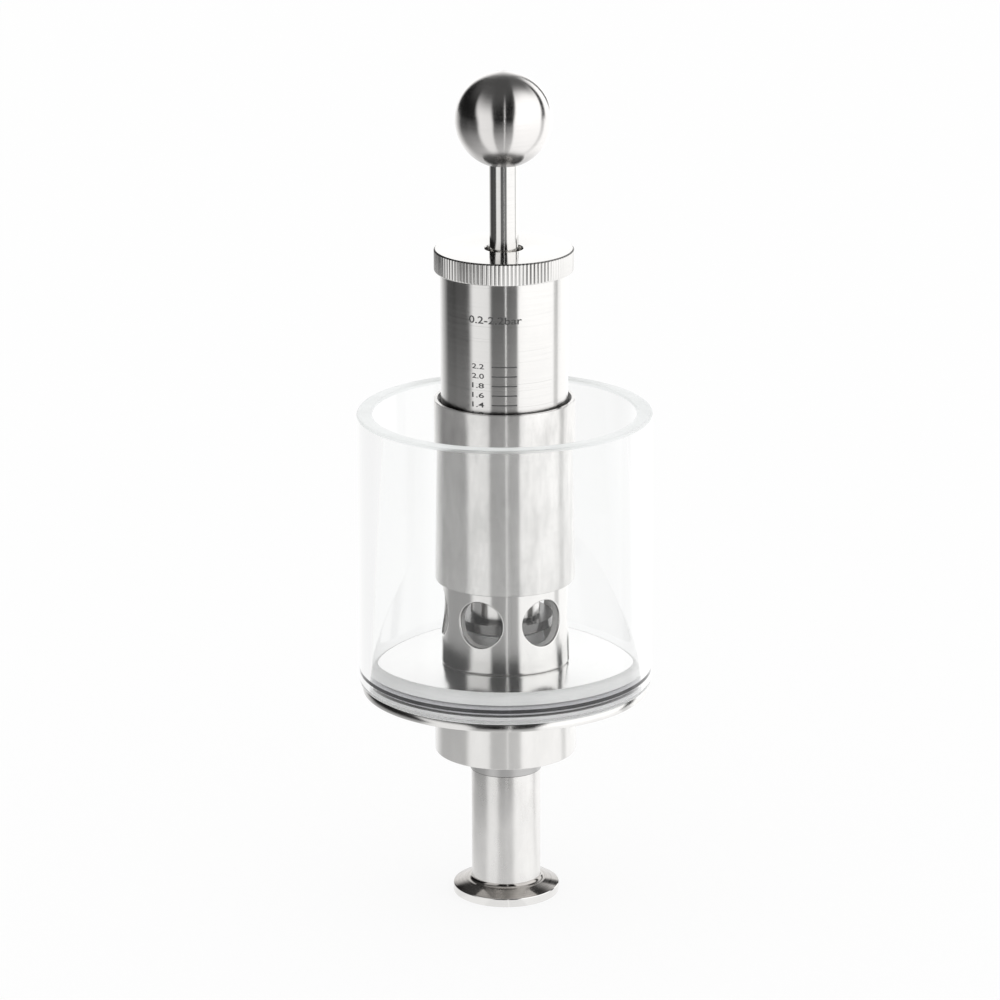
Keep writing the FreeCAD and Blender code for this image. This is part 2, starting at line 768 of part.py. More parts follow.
def compression_spring():
    """Coil with ground ends, from the lower plate to the upper one."""
    length = upper_plate_base - lower_plate_top
    middle = radius("spring_dia")
    wire = size("spring_wire")
    body = new_body("spring_coil", lower_plate_top)
    pieces.remove(body)
    sketch = new_sketch(body, "wire_section")
    draw_outline(sketch, [
        (middle - wire / 2, wire / 2), (middle + wire / 2, wire / 2),
        (middle + wire / 2, wire * 1.5), (middle - wire / 2, wire * 1.5),
    ])
    sketch.AttachmentOffset = FreeCAD.Placement(FreeCAD.Vector(0, -wire.number, 0), FreeCAD.Rotation())
    sketch.setExpression("AttachmentOffset.Base.y", f"-{wire.formula}")
    coil = body.newObject("PartDesign::AdditiveHelix", "coil")
    coil.Profile = sketch
    coil.ReferenceAxis = (sketch, ["V_Axis"])
    coil.Mode = "height-turns-growth"
    coil.Height = length.number
    coil.setExpression("Height", length.formula)
    coil.Turns = size("spring_turns").number
    coil.setExpression("Turns", "Sizes.spring_turns")
    body.Tip = coil
    doc.recompute()
    ground = cylinder("ground_ends", middle + wire, length, lower_plate_top)
    result = doc.addObject("Part::Common", "compression_spring")
    result.Label = "compression_spring"
    result.Base = body
    result.Tool = ground
    pieces.append(result)


clamp_ferrule()
inlet_tube()
base_body()
valve_seat()
vent_cage()
stem_guide()
bonnet()
adjusting_sleeve()
knurled_cap()
glass_and_seals()
valve_plug()
plug_seal()
lift_rod()
ball_knob()
lower_spring_plate()
upper_spring_plate()
compression_spring()
doc.recompute()

for item in doc.Objects:
    if "Invalid" in item.State or "Error" in item.State:
        raise RuntimeError(f"{item.Label} did not build: {item.State}")
for piece in pieces:
    if piece.Shape.isNull() or not piece.Shape.isValid():
        raise RuntimeError(f"{piece.Label} has no valid shape")

os.makedirs("parts", exist_ok=True)
for piece in pieces:
    piece.Shape.exportStep(f"parts/{piece.Label}.step")
    box = piece.Shape.BoundBox
    print(f"{piece.Label:20s} solids {len(piece.Shape.Solids)} z {box.ZMin:8.3f} {box.ZMax:8.3f} "
          f"dia {box.XLength:7.3f} volume {piece.Shape.Volume:10.2f}")
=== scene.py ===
import json
import math

import bmesh
import bpy
from mathutils import Matrix, Vector


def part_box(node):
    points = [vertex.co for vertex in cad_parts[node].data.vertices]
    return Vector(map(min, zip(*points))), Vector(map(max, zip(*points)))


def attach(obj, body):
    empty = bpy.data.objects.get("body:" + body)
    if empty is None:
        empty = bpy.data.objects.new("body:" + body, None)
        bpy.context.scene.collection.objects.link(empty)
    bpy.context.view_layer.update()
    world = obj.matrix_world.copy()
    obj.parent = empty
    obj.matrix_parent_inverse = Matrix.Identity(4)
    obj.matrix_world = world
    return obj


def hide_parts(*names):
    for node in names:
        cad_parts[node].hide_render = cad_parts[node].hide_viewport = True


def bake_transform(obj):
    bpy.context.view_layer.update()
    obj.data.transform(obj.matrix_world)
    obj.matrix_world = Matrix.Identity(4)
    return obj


# Looks of the spunding valve: fine turned meshes, materials, printed scale, studio and camera.
# Metres. The origin is the centre of the clamp ferrule's face, +Z is up the stem, -Y is the viewer's side.
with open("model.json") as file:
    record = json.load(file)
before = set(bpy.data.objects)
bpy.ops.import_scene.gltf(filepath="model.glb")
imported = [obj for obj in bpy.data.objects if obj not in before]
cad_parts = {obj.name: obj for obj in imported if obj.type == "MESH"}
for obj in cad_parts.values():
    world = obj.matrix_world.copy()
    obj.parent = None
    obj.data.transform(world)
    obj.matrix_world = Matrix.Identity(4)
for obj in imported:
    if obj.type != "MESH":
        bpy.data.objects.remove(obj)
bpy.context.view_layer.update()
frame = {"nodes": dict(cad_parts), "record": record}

MM = 0.001
MICRON = 0.000001


def mount(name):
    """A mount of the record."""
    return next(entry for entry in frame["record"]["mounts"] if entry["name"] == name)


def radius_of(node):
    """A round node's radius."""
    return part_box(node)[1].x


def span_of(node):
    """A node's lowest and highest heights."""
    low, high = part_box(node)
    return low.z, high.z


# Sizes that the frame gives
INLET_BORE = mount("inlet_bore")["dims"]["r_mm"] * MM
TUBE = radius_of("inlet_tube")
SLEEVE = radius_of("adjusting_sleeve")
BONNET = radius_of("bonnet")
ROD = radius_of("lift_rod")
GLASS = radius_of("sight_glass")

# Sizes that two or more pieces share, as in the part's source
GLASS_WALL = 5.0 * MM
GLASS_GAP = 0.3 * MM
REGISTER = GLASS - GLASS_WALL - GLASS_GAP
RING_GROOVE_DEPTH = 3.3 * MM
CAP_SPIGOT = 17.0 * MM


# Turned meshes

TURN_STEPS = 192
COARSE_STEPS = 96
ROUND_STEPS = 4
ON_AXIS = 0.1 * MICRON


def place_at(angle, across, up):
    """A point by its angle from the viewer's side, its distance from the axis and its height."""
    return across * math.sin(angle), -across * math.cos(angle), up


def corner(across, up, rounding=0.0):
    """One corner of a turned outline, in metres: its radius, its height and how far it is rounded."""
    return across, up, rounding


def rounded(corners):
    """The points of a closed outline with its corners rounded."""
    points = []
    count = len(corners)
    for index, (across, up, rounding) in enumerate(corners):
        here = Vector((across, up))
        if rounding == 0:
            points.append(here)
            continue
        before = (Vector(corners[index - 1][:2]) - here).normalized()
        after = (Vector(corners[(index + 1) % count][:2]) - here).normalized()
        half = before.angle(after) / 2
        middle = here + (before + after).normalized() * (rounding / math.sin(half))
        start = here + before * (rounding / math.tan(half)) - middle
        end = here + after * (rounding / math.tan(half)) - middle
        sweep = start.angle_signed(end)
        for step in range(ROUND_STEPS + 1):
            turned = Matrix.Rotation(-sweep * step / ROUND_STEPS, 2) @ start
            points.append(middle + turned)
    return points


def lathe(name, corners, steps=TURN_STEPS, ripple=None):
    """A closed solid turned about the Z axis. ripple(angle, across, up) takes that much off the radius."""
    shape = bmesh.new()
    rings = []
    for across, up in rounded(corners):
        if across < ON_AXIS:
            rings.append([shape.verts.new((0, 0, up))])
            continue
        ring = []
        for step in range(steps):
            angle = 2 * math.pi * step / steps
            reach = across - (ripple(angle, across, up) if ripple else 0)
            ring.append(shape.verts.new(place_at(angle, reach, up)))
        rings.append(ring)
    for index, ring in enumerate(rings):
        above = rings[(index + 1) % len(rings)]
        if len(ring) == 1 and len(above) == 1:
            continue
        for step in range(steps):
            following = (step + 1) % steps
            face = [ring[step % len(ring)], ring[following % len(ring)],
                    above[following % len(above)], above[step % len(above)]]
            shape.faces.new(list(dict.fromkeys(face)))
    bmesh.ops.recalc_face_normals(shape, faces=shape.faces)
    return piece_from(name, shape)


def add_bar(shape, rings):
    """The faces of a closed bar whose sections are given in order along it."""
    for ring, following in zip(rings, rings[1:]):
        for point in range(len(ring)):
            after = (point + 1) % len(ring)
            shape.faces.new((ring[point], ring[after], following[after], following[point]))
    shape.faces.new(list(reversed(rings[0])))
    shape.faces.new(rings[-1])


def piece_from(name, shape, sharp_angle=35):
    """An object from a bmesh, smooth except at its sharp edges."""
    mesh = bpy.data.meshes.new(name)
    shape.to_mesh(mesh)
    shape.free()
    mesh.shade_smooth()
    mesh.set_sharp_from_angle(angle=math.radians(sharp_angle))
    obj = bpy.data.objects.new(name, mesh)
    bpy.context.scene.collection.objects.link(obj)
    return obj


def dress(obj, material, body, slot, *nodes):
    """Gives a piece its material and its body, and hides the nodes that it stands for."""
    obj.data.materials.clear()
    obj.data.materials.append(material)
    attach(obj, body)
    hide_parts(*nodes)


def dress_faces(obj, materials, choose):
    """Adds materials to a piece, and gives each face the one that choose(across, up) names for its middle."""
    for material in materials:
        obj.data.materials.append(material)
    for face in obj.data.polygons:
        chosen = choose(math.hypot(face.center.x, face.center.y), face.center.z)
        if chosen:
            face.material_index = obj.data.materials.find(chosen.name)


# Materials

# The range that most of a noise's values lie in
NOISE_LOW = 0.3
NOISE_HIGH = 0.7
# How fine the streaks, stains and tool marks are along and across them, as noise scales for each metre
GRAIN_ALONG = 45.0
STAIN_SCALE = 160.0
SCORE_ALONG = 9.0
SCORE_ACROSS = 2300.0
# Stains change this much more slowly upwards than round the piece
STAIN_SMEAR = 0.35
# Between these values of its noise, a tool mark grows from nothing to its full strength
SCORE_LOW = 0.66
SCORE_HIGH = 0.76
# A blasted face is this metallic, and ends over this width
BLASTED_METAL = 0.1
BLASTED_EDGE = 0.3 * MM
QUARTER_TURN = 0.25
STEEL_TONE = (0.80, 0.79, 0.775)


class Graph:
    """Short ways to write a node tree. Most calls add a node or a few, and give back their output."""

    def __init__(self, tree):
        self.tree = tree

    def node(self, kind, **settings):
        made = self.tree.nodes.new(kind)
        for key, value in settings.items():
            setattr(made, key, value)
        return made

    def put(self, socket, value):
        if isinstance(value, bpy.types.NodeSocket):
            self.tree.links.new(value, socket)
        else:
            socket.default_value = value

    def place(self):
        """The place on the piece, in metres from the frame's origin."""
        return self.node("ShaderNodeTexCoord").outputs["Object"]

    def parts(self, vector):
        """A vector's three parts."""
        made = self.node("ShaderNodeSeparateXYZ")
        self.put(made.inputs[0], vector)
        return made.outputs

    def stretched(self, vector, factors):
        made = self.node("ShaderNodeVectorMath", operation="MULTIPLY")
        self.put(made.inputs[0], vector)
        self.put(made.inputs[1], factors)
        return made.outputs[0]

    def tinted(self, tone, shade):
        """A tone made darker or lighter by a share."""
        made = self.node("ShaderNodeVectorMath", operation="SCALE")
        self.put(made.inputs[0], tone)
        self.put(made.inputs["Scale"], shade)
        return made.outputs[0]

    def math(self, operation, first, second=0.0):
        made = self.node("ShaderNodeMath", operation=operation)
        self.put(made.inputs[0], first)
        self.put(made.inputs[1], second)
        return made.outputs[0]

    def times(self, first, second):
        return self.math("MULTIPLY", first, second)

    def what_is_left(self, share):
        return self.math("SUBTRACT", 1.0, share)

    def blended(self, first, second, share):
        """The first value where the share is 0, and the second where it is 1."""
        return self.math("ADD", self.times(first, self.what_is_left(share)), self.times(second, share))

    def mapped(self, value, low, high, to_low=0.0, to_high=1.0, smooth=False):
        made = self.node("ShaderNodeMapRange", interpolation_type="SMOOTHSTEP" if smooth else "LINEAR")
        for socket, number in zip(made.inputs, (value, low, high, to_low, to_high)):
            self.put(socket, number)
        return made.outputs[0]

    def ramp(self, value, stops):
        """A colour ramp from (position, grey level) pairs."""
        made = self.node("ShaderNodeValToRGB")
        self.put(made.inputs[0], value)
        elements = made.color_ramp.elements
        while len(elements) < len(stops):
            elements.new(1.0)
        for element, (position, _) in zip(elements, stops):
            element.position = position
        for element, (_, level) in zip(elements, stops):
            element.color = (level, level, level, 1)
        return made.outputs[0]

    def noise(self, vector, scale, detail=2.0, roughness=0.5, fourth=None, distortion=0.0):
        made = self.node("ShaderNodeTexNoise", noise_dimensions="3D" if fourth is None else "4D")
        self.put(made.inputs["Vector"], vector)
        if fourth is not None:
            self.put(made.inputs["W"], fourth)
        self.put(made.inputs["Scale"], scale)
        self.put(made.inputs["Detail"], detail)
        self.put(made.inputs["Roughness"], roughness)
        self.put(made.inputs["Distortion"], distortion)
        return made.outputs[0]

    def from_noise(self, noise, to_low, to_high):
        """A noise's usual range, taken to another range."""
        return self.mapped(noise, NOISE_LOW, NOISE_HIGH, to_low, to_high)

    def bump(self, height, distance, normal=None):
        made = self.node("ShaderNodeBump")
        self.put(made.inputs["Strength"], 1.0)
        self.put(made.inputs["Distance"], distance)
        self.put(made.inputs["Height"], height)
        if normal is not None:
            self.put(made.inputs["Normal"], normal)
        return made.outputs[0]


def new_material(name):
    """A material with its graph and its Principled shader's sockets."""
    material = bpy.data.materials.new(name)
    material.use_nodes = True
    graph = Graph(material.node_tree)
    return material, graph, material.node_tree.nodes["Principled BSDF"].inputs


def turned_grain(graph, fineness):
    """The place, streaks that run round the axis on upright walls and flat faces alike, and the radius."""
    place = graph.place()
    x, y, _ = graph.parts(place)
    across = graph.math("SQRT", graph.math("ADD", graph.times(x, x), graph.times(y, y)))
    streaks = graph.noise(graph.stretched(place, (GRAIN_ALONG, GRAIN_ALONG, fineness)), 1.0, detail=3.0,
                          roughness=0.65, fourth=graph.times(across, fineness))
    return place, streaks, across


def steel(name, tone=STEEL_TONE, roughness=0.2, spread=0.06, fineness=2600.0, cut=0.8 * MICRON, patches=0.04,
          wave=0.0, wave_scale=70.0, brushed=0.85, streaky=0.6, painted_underside_shade=None, scores=0.0, satin=0.0,
          blasted_within=None):
    """Stainless steel brushed or turned round the axis, with faint stains and, where asked, a wavy surface.

    fineness and cut are how close and how deep the streaks are, and wave_scale and wave the same for the
    waves. patches is how far the tone varies, and streaky the share of that which follows the streaks,
    against the stains. The painted underside shade is given as two heights between which painted shade
    deepens the tone downwards, and the share of the tone that is left below. scores is how far a few
    stronger tool marks darken. satin is the share that scatters as a blasted face does, and blasted_within
    is the radius within which the piece has such a face.
    """
    material, graph, shader = new_material(name)
    place, streaks, across = turned_grain(graph, fineness)
    stains = graph.noise(graph.stretched(place, (1.0, 1.0, STAIN_SMEAR)), STAIN_SCALE, detail=4.0,
                         roughness=0.6)
    uneven = graph.math("ADD", graph.times(streaks, streaky), graph.times(stains, 1.0 - streaky))
    shade = graph.from_noise(uneven, 1.0 - patches, 1.0 + patches)
    if scores:
        marks = graph.noise(graph.stretched(place, (SCORE_ALONG, SCORE_ALONG, SCORE_ACROSS)), 1.0, detail=1.0)
        scored = graph.mapped(marks, SCORE_LOW, SCORE_HIGH)
        shade = graph.times(shade, graph.what_is_left(graph.times(scored, scores)))
    # Painted shade: the tone darkens towards the bottom, between two heights
    if painted_underside_shade:
        up = graph.parts(place)[2]
        shade = graph.times(shade, graph.mapped(up, *painted_underside_shade, 1.0, smooth=True))
    graph.put(shader["Base Color"], graph.tinted(tone, shade))
    graph.put(shader["Roughness"], graph.from_noise(uneven, roughness - spread, roughness + spread))
    graph.put(shader["Metallic"], 1.0 - satin)
    if blasted_within:
        metal = graph.mapped(across, blasted_within - BLASTED_EDGE, blasted_within, BLASTED_METAL, 1.0)
        graph.put(shader["Metallic"], metal)
    graph.put(shader["Anisotropic"], brushed)
    graph.put(shader["Anisotropic Rotation"], QUARTER_TURN)
    tangent = graph.node("ShaderNodeTangent", direction_type="RADIAL", axis="Z")
    graph.put(shader["Tangent"], tangent.outputs[0])
    normal = graph.bump(streaks, cut)
    if wave:
        swell = graph.noise(place, wave_scale, detail=1.0, distortion=0.4)
        normal = graph.bump(swell, wave, normal=normal)
    graph.put(shader["Normal"], normal)
    return material


def glass(name, tone, low_roughness, high_roughness):
    """Clear glass with faint smears and a slow ripple in its surface."""
    refraction = 1.47
    smear_scale = 55.0
    smear_low, smear_high = 0.45, 0.75
    ripple_scale = 30.0
    ripple_depth = 0.02 * MM
    material, graph, shader = new_material(name)
    place = graph.place()
    graph.put(shader["Base Color"], (*tone, 1))
    graph.put(shader["Transmission Weight"], 1.0)
    graph.put(shader["IOR"], refraction)
    smears = graph.noise(place, smear_scale, detail=3.0, roughness=0.6)
    graph.put(shader["Roughness"], graph.mapped(smears, smear_low, smear_high, low_roughness, high_roughness))
    graph.put(shader["Normal"], graph.bump(graph.noise(place, ripple_scale, detail=1.0), ripple_depth))
    return material


def rubber(name, tone, deep=0.8, pale=1.5):
    """Smooth rubber, its tone a little uneven between the shares deep and pale."""
    dust_scale = 900.0
    dust_low, dust_high = 0.35, 0.75
    low_roughness, high_roughness = 0.28, 0.42
    dust_depth = 6 * MICRON
    material, graph, shader = new_material(name)
    dust = graph.noise(graph.place(), dust_scale, detail=3.0)
    shade = graph.mapped(dust, dust_low, dust_high, deep, pale)
    graph.put(shader["Base Color"], graph.tinted(tone, shade))
    graph.put(shader["Roughness"], graph.from_noise(dust, low_roughness, high_roughness))
    graph.put(shader["Normal"], graph.bump(dust, dust_depth))
    return material


def white_plastic():
    """Turned white plastic with faint rings."""
    tone = (1.0, 0.995, 0.975)
    fineness = 1800.0
    deep, pale = 0.86, 0.92
    low_roughness, high_roughness = 0.38, 0.5
    cut = 4 * MICRON
    material, graph, shader = new_material("white_plastic")
    _, streaks, _ = turned_grain(graph, fineness)
    graph.put(shader["Base Color"], graph.tinted(tone, graph.from_noise(streaks, deep, pale)))
    graph.put(shader["Roughness"], graph.from_noise(streaks, low_roughness, high_roughness))
    graph.put(shader["Normal"], graph.bump(streaks, cut))
    return material


def laser_mark():
    """Dark etched marks, a little uneven as a laser leaves them."""
    speckle_scale = 2600.0
    speckle_low, speckle_high = 0.35, 0.7
    deep, pale = 0.04, 0.11
    low_roughness, high_roughness = 0.42, 0.6
    material, graph, shader = new_material("laser_mark")
    speckle = graph.noise(graph.place(), speckle_scale, detail=3.0, roughness=0.7)
    shade = graph.mapped(speckle, speckle_low, speckle_high, deep, pale)
    grey = graph.node("ShaderNodeCombineColor")
    for socket in grey.inputs:
        graph.put(socket, shade)
    graph.put(shader["Base Color"], grey.outputs[0])
    graph.put(shader["Roughness"], graph.from_noise(speckle, low_roughness, high_roughness))
    return material


# Outer steels, from the ball down
BALL_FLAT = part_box("ball_knob")[0].z
# Painted shade: the ball's tone darkens towards its flat underneath
BALL_STEEL = steel("ball_steel", tone=(0.8, 0.782, 0.768), roughness=0.185, spread=0.04, fineness=1500.0,
                   brushed=0.9, painted_underside_shade=(BALL_FLAT + 0.5 * MM, BALL_FLAT + 7.0 * MM, 0.5))
POLISHED = steel("polished_steel", roughness=0.13, spread=0.05, fineness=3200.0, cut=0.4 * MICRON,
                 brushed=0.6)
# Painted shade: near-black steel for dark lines of shade, at the neck's foot and on the cap's broken top edge
SHADE_LINE_STEEL = steel("painted_shade_line_steel", tone=(0.22, 0.215, 0.21), roughness=0.35)
BRUSHED = steel("brushed_steel", roughness=0.19, brushed=1.0, scores=0.2)
BONNET_STEEL = steel("bonnet_steel", roughness=0.22, spread=0.04, fineness=1900.0, cut=0.1 * MICRON,
                     patches=0.16, brushed=1.0, streaky=0.1, satin=0.25)
# Painted shade: near-black steel on the bonnet's bevelled mouth, where the gap to the sleeve lies in shade
MOUTH_SHADE_STEEL = steel("mouth_painted_shade_steel", tone=(0.05, 0.048, 0.046), roughness=0.35)
CAGE_STEEL = steel("cage_steel", roughness=0.18, spread=0.04, cut=0.1 * MICRON, brushed=0.9, streaky=0.1,
                   blasted_within=SLEEVE - 0.6 * MM)
DISC_STEEL = steel("disc_steel", tone=(0.79, 0.79, 0.785), roughness=0.16, fineness=3200.0, cut=0.4 * MICRON,
                   brushed=0.6)
LAND_STEEL = steel("land_steel", tone=(0.97, 0.975, 0.97), roughness=0.6, spread=0.05, brushed=0.0, satin=0.9)
BOSS_STEEL = steel("boss_steel", roughness=0.2, spread=0.04, cut=0.1 * MICRON, wave=0.05 * MM, patches=0.05,
                   brushed=0.7, streaky=0.1)
# Painted shade: the neck under the boss gets a darker tone than the other steels
NECK_SHADE_STEEL = steel("neck_painted_shade_steel", tone=(0.52, 0.515, 0.51), roughness=0.36, wave=0.1 * MM, patches=0.08,
                   brushed=0.3)
TUBE_STEEL = steel("tube_steel", roughness=0.3, spread=0.08, cut=0.1 * MICRON, wave=0.3 * MM, wave_scale=75.0,
                   brushed=0.4, patches=0.09, streaky=0.1)
# Painted shade: the ferrule's sloping back gets a darker, blotchier tone for the dark it shows
CONE_SHADE_STEEL = steel("cone_painted_shade_steel", tone=(0.46, 0.44, 0.42), roughness=0.12, spread=0.05, wave=0.1 * MM,
                   wave_scale=110.0, brushed=0.4, patches=0.3)
FERRULE_STEEL = steel("ferrule_steel", roughness=0.12, spread=0.04, wave=0.08 * MM, wave_scale=90.0,
                      brushed=0.4)

# Inner steels
PLUG_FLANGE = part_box("valve_plug")[0].z + 2.8 * MM
# Painted shade: the plug's flange and the part below it are darkened to about a fifth of the tone
PLUG_STEEL = steel("plug_steel", fineness=1600.0, cut=1.6 * MICRON,
                   painted_underside_shade=(PLUG_FLANGE + 0.05 * MM, PLUG_FLANGE + 1.2 * MM, 0.22))
SEAT_STEEL = steel("seat_steel", tone=(0.96, 0.955, 0.95), roughness=0.42, fineness=1600.0, cut=1.6 * MICRON,
                   brushed=0.0, satin=0.9)
INNER_STEEL = steel("inner_steel", roughness=0.24, fineness=1500.0, cut=1.4 * MICRON, patches=0.06)
SPRING_STEEL = steel("spring_steel", tone=(0.66, 0.65, 0.64), roughness=0.3, fineness=900.0, brushed=0.2)

# Glass, rubber, plastic and marks
CLEAR_GLASS = glass("clear_glass", (0.992, 0.9955, 0.994), 0.0, 0.02)
RIM_GLASS = glass("rim_glass", (0.85, 0.88, 0.872), 0.35, 0.5)
BLACK_RUBBER = rubber("black_rubber", (0.012, 0.0125, 0.015))
# Painted sheen: pale grey for the shoulders of the black glass ring, for the sheen they show through the
# glass
RING_SHEEN_RUBBER = rubber("ring_painted_sheen_rubber", (0.74, 0.74, 0.77), 0.95, 1.05)
GASKET_RUBBER = rubber("gasket_rubber", (0.6, 0.6, 0.62))
SEAL_RUBBER = rubber("seal_rubber", (0.04, 0.04, 0.043))
WHITE_PLASTIC = white_plastic()
LASER_MARK = laser_mark()


# Pieces that stay as packed

KEPT_NODES = {
    "vent_cage": CAGE_STEEL, "valve_plug": PLUG_STEEL, "valve_seat": SEAT_STEEL,
    "seat_o_ring": BLACK_RUBBER, "cage_o_ring": BLACK_RUBBER, "wiper_ring": BLACK_RUBBER,
    "glass_gasket": GASKET_RUBBER, "plug_seal": SEAL_RUBBER,
    "stem_guide": INNER_STEEL, "lower_spring_plate": INNER_STEEL, "upper_spring_plate": INNER_STEEL,
    "stem_nut": INNER_STEEL, "seal_retainer": INNER_STEEL, "retainer_screw": INNER_STEEL,
    "guide_bush": WHITE_PLASTIC, "thrust_washer": WHITE_PLASTIC,
}


def dress_kept_nodes():
    """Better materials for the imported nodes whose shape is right."""
    for name, material in KEPT_NODES.items():
        for slot in frame["nodes"][name].material_slots:
            slot.material = material


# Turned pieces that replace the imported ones, with their edges broken

# How far from an edge faces and points are told apart by it
EDGE_SLACK = 0.1 * MM


def clamp_ferrule():
    """Rim with the gasket's groove in its face, a sloping back, and the weld end that meets the tube."""
    low, high = span_of("clamp_ferrule")
    rim = radius_of("clamp_ferrule")
    rim_top = mount("clamp_rim")["dims"]["length_mm"] * MM
    groove_middle = 13.75 * MM
    groove_half = 1.45 * MM
    groove_roof = 1.5 * MM
    groove_in = groove_middle - groove_half
    groove_out = groove_middle + groove_half
    cone_end = rim - 4.4 * MM
    cone_top = rim_top + 1.6 * MM
    fillet_foot = cone_top + 0.25 * MM
    fillet_top = cone_top + 1.2 * MM
    obj = lathe("clamp_ferrule_turned", [
        corner(INLET_BORE, low, 0.3 * MM), corner(groove_in, low, 0.2 * MM),
        corner(groove_in, groove_roof, 0.5 * MM), corner(groove_out, groove_roof, 0.5 * MM),
        corner(groove_out, low, 0.2 * MM), corner(rim, low, 0.5 * MM),
        corner(rim, rim_top, 0.45 * MM), corner(cone_end, cone_top, 0.8 * MM),
        corner(TUBE, fillet_foot, 1.3 * MM), corner(TUBE, high), corner(INLET_BORE, high),
    ])
    dress(obj, FERRULE_STEEL, "valve_body", "brushed_steel", "clamp_ferrule")

    def surface(across, up):
        if up > fillet_top:
            return TUBE_STEEL
        # Painted shade on the sloping back
        if up > rim_top:
            return CONE_SHADE_STEEL
        return None

    dress_faces(obj, (CONE_SHADE_STEEL, TUBE_STEEL), surface)


def inlet_tube():
    """Plain tube between the ferrule's weld end and the neck."""
    low, high = span_of("inlet_tube")
    obj = lathe("inlet_tube_turned", [
        corner(INLET_BORE, low), corner(TUBE, low), corner(TUBE, high, 0.12 * MM), corner(INLET_BORE, high),
    ])
    dress(obj, TUBE_STEEL, "valve_body", "brushed_steel", "inlet_tube")


def base_body():
    """Neck, boss, flange lip and glass register, with the gasket's recess, ring groove and seat pocket."""
    low, high = span_of("base_body")
    neck = TUBE + 0.4 * MM
    neck_height = 6.6 * MM
    boss = 22.5 * MM
    boss_height = 20.6 * MM
    boss_bottom = low + neck_height
    flange = radius_of("base_body")
    lip_bottom = boss_bottom + boss_height
    gasket_proud = 0.1 * MM
    gasket_gap = 0.1 * MM
    lip_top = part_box("sight_glass")[0].z - gasket_proud
    recess = radius_of("glass_gasket") + gasket_gap
    recess_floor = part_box("glass_gasket")[0].z
    ring_low, ring_high = span_of("glass_o_ring")
    ring_slack = 0.175 * MM
    groove_low, groove_high = ring_low - ring_slack, ring_high + ring_slack
    groove_floor = REGISTER - RING_GROOVE_DEPTH
    disc_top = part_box("vent_cage")[0].z
    collar = 16.8 * MM
    pocket = radius_of("valve_seat")
    pocket_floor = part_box("valve_seat")[0].z
    obj = lathe("base_body_turned", [
        corner(INLET_BORE, low), corner(neck, low, 0.25 * MM), corner(neck, boss_bottom, 0.5 * MM),
        corner(boss, boss_bottom, 0.35 * MM), corner(boss, lip_bottom, 0.4 * MM),
        corner(flange, lip_bottom, 0.35 * MM), corner(flange, lip_top, 2.0 * MM), corner(recess, lip_top),
        corner(recess, recess_floor), corner(REGISTER, recess_floor),
        corner(REGISTER, groove_low, 0.15 * MM), corner(groove_floor, groove_low, 0.2 * MM),
        corner(groove_floor, groove_high, 0.2 * MM), corner(REGISTER, groove_high, 0.15 * MM),
        corner(REGISTER, disc_top, 1.8 * MM), corner(collar, disc_top, 0.1 * MM),
        corner(collar, high, 0.3 * MM), corner(pocket, high, 0.3 * MM), corner(pocket, pocket_floor),
        corner(INLET_BORE, pocket_floor),
    ])
    dress(obj, BOSS_STEEL, "valve_body", "brushed_steel", "base_body")
    land_width = 1.7 * MM
    lip_edge = 0.7 * MM
    painted_foot_line_height = 0.26 * MM

    def surface(across, up):
        """Pale lands round the disc and on the lip, and a neck darkened by painted shade under the boss, with
        a painted dark line of shade at its foot.
        """
        if up > groove_high:
            return LAND_STEEL if across > REGISTER - land_width else DISC_STEEL
        if lip_top - lip_edge < up < groove_low and across > REGISTER - EDGE_SLACK:
            return LAND_STEEL
        if up > lip_top:
            return POLISHED
        # Painted shade: a dark line round the neck's foot
        if up < low + painted_foot_line_height and across > TUBE:
            return SHADE_LINE_STEEL
        # Painted shade over the rest of the neck
        if up < boss_bottom - EDGE_SLACK:
            return NECK_SHADE_STEEL
        return None

    dress_faces(obj, (POLISHED, LAND_STEEL, NECK_SHADE_STEEL, SHADE_LINE_STEEL, DISC_STEEL), surface)


def glass_o_ring():
    """The ring as the glass squeezes it: a flat band against the glass, and full round shoulders."""
    low, high = span_of("glass_o_ring")
    middle = (low + high) / 2
    wall = GLASS - GLASS_WALL
    reach = wall + 0.03 * MM
    band_half = 0.6 * MM
    shoulder = reach - 0.9 * MM
    shoulder_drop = 0.5 * MM
    floor = REGISTER - RING_GROOVE_DEPTH
    foot_half = 1.0 * MM
    crown = floor + 1.3 * MM
    obj = lathe("glass_o_ring_squeezed", [
        corner(floor, middle - foot_half, 0.3 * MM), corner(crown, low, 1.0 * MM),
        corner(shoulder, low + shoulder_drop, 0.4 * MM), corner(reach, middle - band_half),
        corner(reach, middle + band_half), corner(shoulder, high - shoulder_drop, 0.4 * MM),
        corner(crown, high, 1.0 * MM), corner(floor, middle + foot_half, 0.3 * MM),
    ])
    # Painted sheen: the ring is pale grey on its shoulders, and black only on the band against the glass
    dress(obj, RING_SHEEN_RUBBER, "valve_body", "black_rubber", "glass_o_ring")

    def surface(across, up):
        return BLACK_RUBBER if across > wall else None

    dress_faces(obj, (BLACK_RUBBER,), surface)


